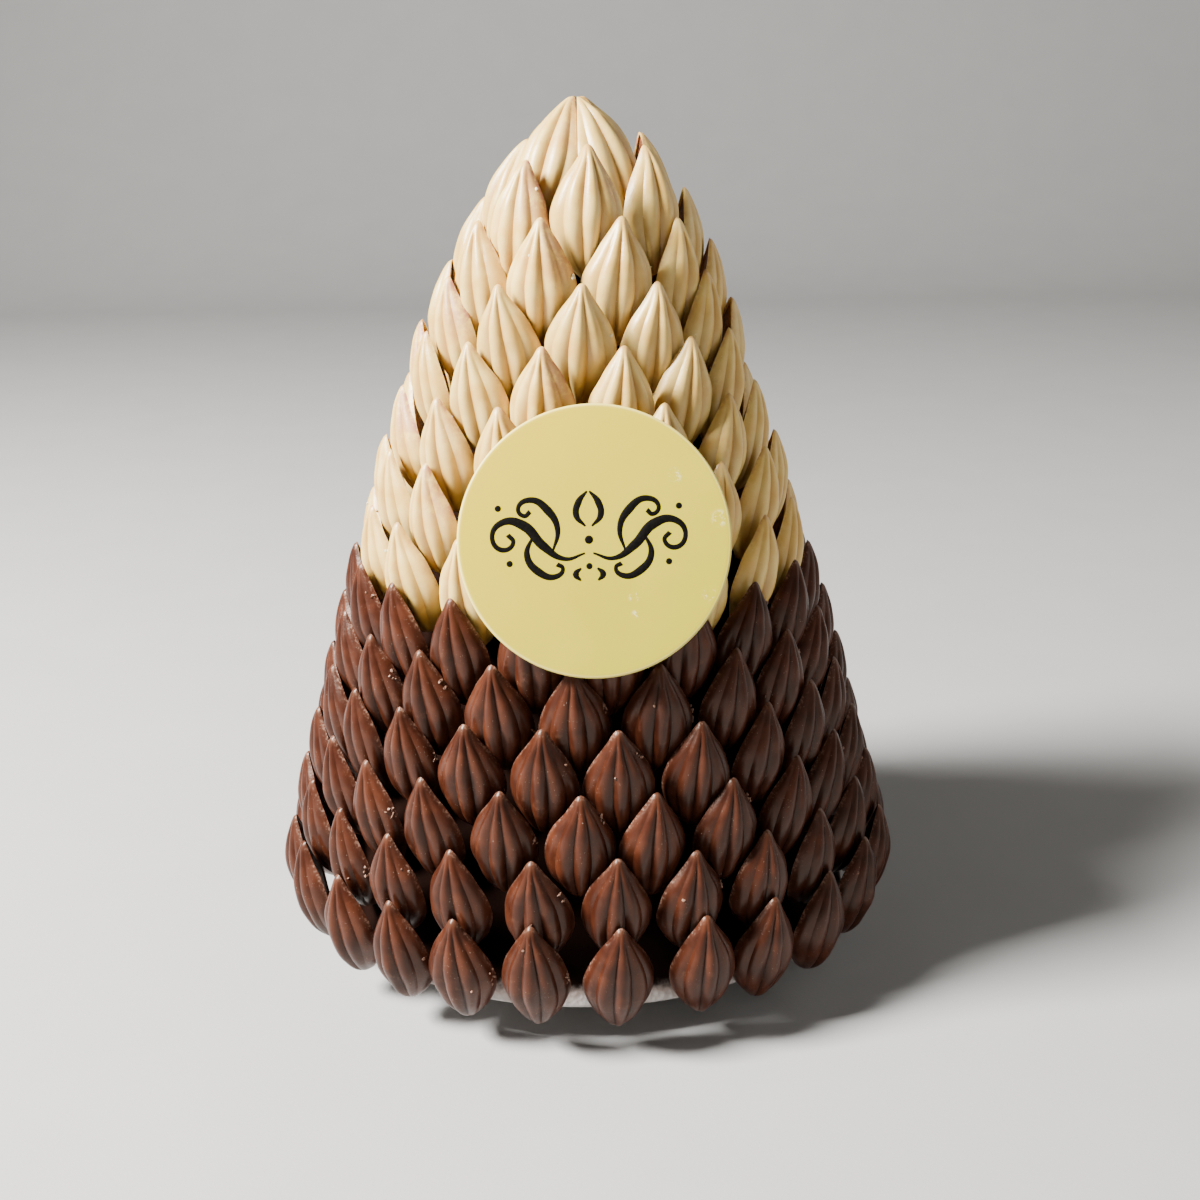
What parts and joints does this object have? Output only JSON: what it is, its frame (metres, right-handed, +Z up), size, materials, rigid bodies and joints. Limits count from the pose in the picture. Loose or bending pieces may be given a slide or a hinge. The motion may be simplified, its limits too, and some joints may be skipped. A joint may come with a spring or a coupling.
{
  "type": "chocolate pyramid",
  "caption": "Tall cone of fluted milk and ivory chocolate pods set in overlapping rings on a foam core, with a round chocolate plaque leaning on its front.",
  "frame": {"origin": "centre of the round foot's underside, on the surface the pyramid stands on", "axes": "+Z up the pyramid to its tip, -Y to the front where the plaque leans, +X to the right seen from the front"},
  "size_m": [0.2689, 0.2694, 0.3557],
  "materials": {
    "milk_chocolate": "satin",
    "ivory_chocolate": "satin",
    "plaque_chocolate": "smooth satin",
    "foam": "matte"
  },
  "bodies": {
    "root": {"core": "foam", "tier_01_milk": "milk_chocolate", "tier_02_milk": "milk_chocolate", "tier_03_milk": "milk_chocolate", "tier_04_milk": "milk_chocolate", "tier_05_milk": "milk_chocolate", "tier_06_milk": "milk_chocolate", "tier_07_ivory": "ivory_chocolate", "tier_08_ivory": "ivory_chocolate", "tier_09_ivory": "ivory_chocolate", "tier_10_pod_01": "ivory_chocolate", "tier_10_pod_02": "ivory_chocolate", "tier_10_pod_03": "ivory_chocolate", "tier_10_pod_04": "ivory_chocolate", "tier_10_pod_05": "ivory_chocolate", "tier_10_pod_06": "ivory_chocolate", "tier_10_pod_07": "ivory_chocolate", "tier_10_pod_08": "ivory_chocolate", "tier_10_pod_09": "ivory_chocolate", "tier_10_pod_10": "ivory_chocolate", "tier_10_pod_11": "ivory_chocolate", "tier_10_pod_12": "ivory_chocolate", "tier_10_pod_13": "ivory_chocolate", "tier_11_pod_01": "ivory_chocolate", "tier_11_pod_02": "ivory_chocolate", "tier_11_pod_03": "ivory_chocolate", "tier_11_pod_04": "ivory_chocolate", "tier_11_pod_05": "ivory_chocolate", "tier_11_pod_06": "ivory_chocolate", "tier_11_pod_07": "ivory_chocolate", "tier_11_pod_08": "ivory_chocolate", "tier_11_pod_09": "ivory_chocolate", "tier_11_pod_10": "ivory_chocolate", "tier_11_pod_11": "ivory_chocolate", "tier_12_pod_01": "ivory_chocolate", "tier_12_pod_02": "ivory_chocolate", "tier_12_pod_03": "ivory_chocolate", "tier_12_pod_04": "ivory_chocolate", "tier_12_pod_05": "ivory_chocolate", "tier_12_pod_06": "ivory_chocolate", "tier_12_pod_07": "ivory_chocolate", "tier_12_pod_08": "ivory_chocolate", "tier_12_pod_09": "ivory_chocolate", "tier_13_pod_01": "ivory_chocolate", "tier_13_pod_02": "ivory_chocolate", "tier_13_pod_03": "ivory_chocolate", "tier_13_pod_04": "ivory_chocolate", "tier_13_pod_05": "ivory_chocolate", "tier_13_pod_06": "ivory_chocolate", "tier_13_pod_07": "ivory_chocolate", "top_pod_1": "ivory_chocolate", "top_pod_2": "ivory_chocolate", "top_pod_3": "ivory_chocolate", "top_pod_4": "ivory_chocolate", "plaque": "plaque_chocolate"}
  },
  "joints": []
}
